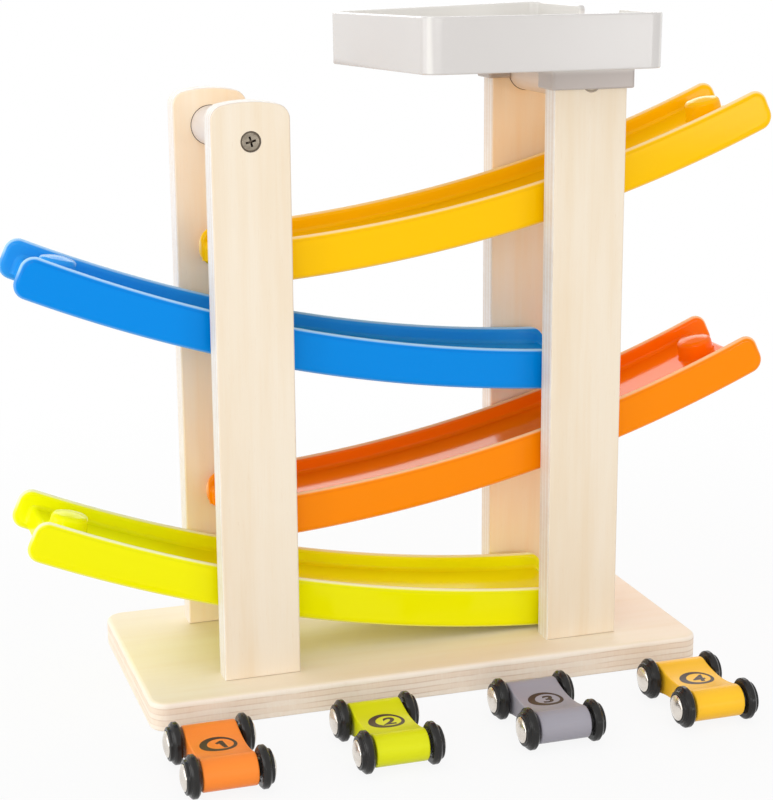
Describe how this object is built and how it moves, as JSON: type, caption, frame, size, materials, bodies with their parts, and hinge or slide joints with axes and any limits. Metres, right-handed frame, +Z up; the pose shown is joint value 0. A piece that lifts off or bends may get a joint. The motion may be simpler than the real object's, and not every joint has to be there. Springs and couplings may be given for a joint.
{
  "type": "click clack track toy",
  "caption": "Plywood tower carrying curved plastic car tracks that rise left and right by turns, with a lift-off parking tray on top and small wooden cars whose axles turn.",
  "frame": {"origin": "middle of the base board's underside, on the surface that the toy stands on", "axes": "+X along the tracks towards the parking tray's exit, +Y from the cars to the back, +Z up"},
  "size_m": [0.337, 0.1973, 0.2888],
  "materials": {
    "plywood": "clear satin birch plywood",
    "dowel_wood": "smooth pale hardwood",
    "zinc_screw": "zinc plated",
    "lime_plastic": "gloss",
    "orange_plastic": "gloss",
    "blue_plastic": "gloss",
    "yellow_plastic": "gloss",
    "grey_plastic": "satin",
    "orange_paint": "satin paint on wood",
    "lime_paint": "satin paint on wood",
    "grey_paint": "satin paint on wood",
    "amber_paint": "satin paint on wood",
    "black_plastic": "satin black",
    "nickel": "satin nickel"
  },
  "bodies": {
    "tower": {"base_board": "plywood", "left_front_post": "plywood", "left_back_post": "plywood", "right_front_post": "plywood", "right_back_post": "plywood", "left_dowel": "dowel_wood", "right_dowel": "dowel_wood", "dowel_screws": "zinc_screw", "base_screws": "zinc_screw", "lime_track": "lime_plastic", "orange_track": "orange_plastic", "blue_track": "blue_plastic", "yellow_track": "yellow_plastic"},
    "tray": {"parking_tray": "grey_plastic"},
    "car_1": {"car_1_body": "orange_paint"},
    "car_1_front_wheelset": {"car_1_front_axle": "zinc_screw", "car_1_front_left_wheel": "black_plastic", "car_1_front_right_wheel": "black_plastic", "car_1_front_hub_caps": "nickel"},
    "car_1_rear_wheelset": {"car_1_rear_axle": "zinc_screw", "car_1_rear_left_wheel": "black_plastic", "car_1_rear_right_wheel": "black_plastic", "car_1_rear_hub_caps": "nickel"},
    "car_2": {"car_2_body": "lime_paint"},
    "car_2_front_wheelset": {"car_2_front_axle": "zinc_screw", "car_2_front_left_wheel": "black_plastic", "car_2_front_right_wheel": "black_plastic", "car_2_front_hub_caps": "nickel"},
    "car_2_rear_wheelset": {"car_2_rear_axle": "zinc_screw", "car_2_rear_left_wheel": "black_plastic", "car_2_rear_right_wheel": "black_plastic", "car_2_rear_hub_caps": "nickel"},
    "car_3": {"car_3_body": "grey_paint"},
    "car_3_front_wheelset": {"car_3_front_axle": "zinc_screw", "car_3_front_left_wheel": "black_plastic", "car_3_front_right_wheel": "black_plastic", "car_3_front_hub_caps": "nickel"},
    "car_3_rear_wheelset": {"car_3_rear_axle": "zinc_screw", "car_3_rear_left_wheel": "black_plastic", "car_3_rear_right_wheel": "black_plastic", "car_3_rear_hub_caps": "nickel"},
    "car_4": {"car_4_body": "amber_paint"},
    "car_4_front_wheelset": {"car_4_front_axle": "zinc_screw", "car_4_front_left_wheel": "black_plastic", "car_4_front_right_wheel": "black_plastic", "car_4_front_hub_caps": "nickel"},
    "car_4_rear_wheelset": {"car_4_rear_axle": "zinc_screw", "car_4_rear_left_wheel": "black_plastic", "car_4_rear_right_wheel": "black_plastic", "car_4_rear_hub_caps": "nickel"}
  },
  "joints": [
    {"name": "tray_lift", "type": "slide", "parent": "tower", "child": "tray", "axis": [0, 0, 1], "range_m": [0, 0.03]},
    {"name": "car_1_roll", "type": "slide", "parent": "tower", "child": "car_1", "axis": [0, 1, 0], "range_m": [-0.15, 0.015]},
    {"name": "car_1_front_spin", "type": "hinge", "parent": "car_1", "child": "car_1_front_wheelset", "pos_m": [-0.108, -0.12075, 0.0086], "axis": [1, 0, 0], "continuous": true},
    {"name": "car_1_rear_spin", "type": "hinge", "parent": "car_1", "child": "car_1_rear_wheelset", "pos_m": [-0.108, -0.08835, 0.0086], "axis": [1, 0, 0], "continuous": true},
    {"name": "car_2_roll", "type": "slide", "parent": "tower", "child": "car_2", "axis": [0, 1, 0], "range_m": [-0.15, 0.015]},
    {"name": "car_2_front_spin", "type": "hinge", "parent": "car_2", "child": "car_2_front_wheelset", "pos_m": [-0.0388, -0.12075, 0.0086], "axis": [1, 0, 0], "continuous": true},
    {"name": "car_2_rear_spin", "type": "hinge", "parent": "car_2", "child": "car_2_rear_wheelset", "pos_m": [-0.0388, -0.08835, 0.0086], "axis": [1, 0, 0], "continuous": true},
    {"name": "car_3_roll", "type": "slide", "parent": "tower", "child": "car_3", "axis": [0, 1, 0], "range_m": [-0.15, 0.015]},
    {"name": "car_3_front_spin", "type": "hinge", "parent": "car_3", "child": "car_3_front_wheelset", "pos_m": [0.0304, -0.12075, 0.0086], "axis": [1, 0, 0], "continuous": true},
    {"name": "car_3_rear_spin", "type": "hinge", "parent": "car_3", "child": "car_3_rear_wheelset", "pos_m": [0.0304, -0.08835, 0.0086], "axis": [1, 0, 0], "continuous": true},
    {"name": "car_4_roll", "type": "slide", "parent": "tower", "child": "car_4", "axis": [0, 1, 0], "range_m": [-0.15, 0.015]},
    {"name": "car_4_front_spin", "type": "hinge", "parent": "car_4", "child": "car_4_front_wheelset", "pos_m": [0.0996, -0.12075, 0.0086], "axis": [1, 0, 0], "continuous": true},
    {"name": "car_4_rear_spin", "type": "hinge", "parent": "car_4", "child": "car_4_rear_wheelset", "pos_m": [0.0996, -0.08835, 0.0086], "axis": [1, 0, 0], "continuous": true}
  ]
}
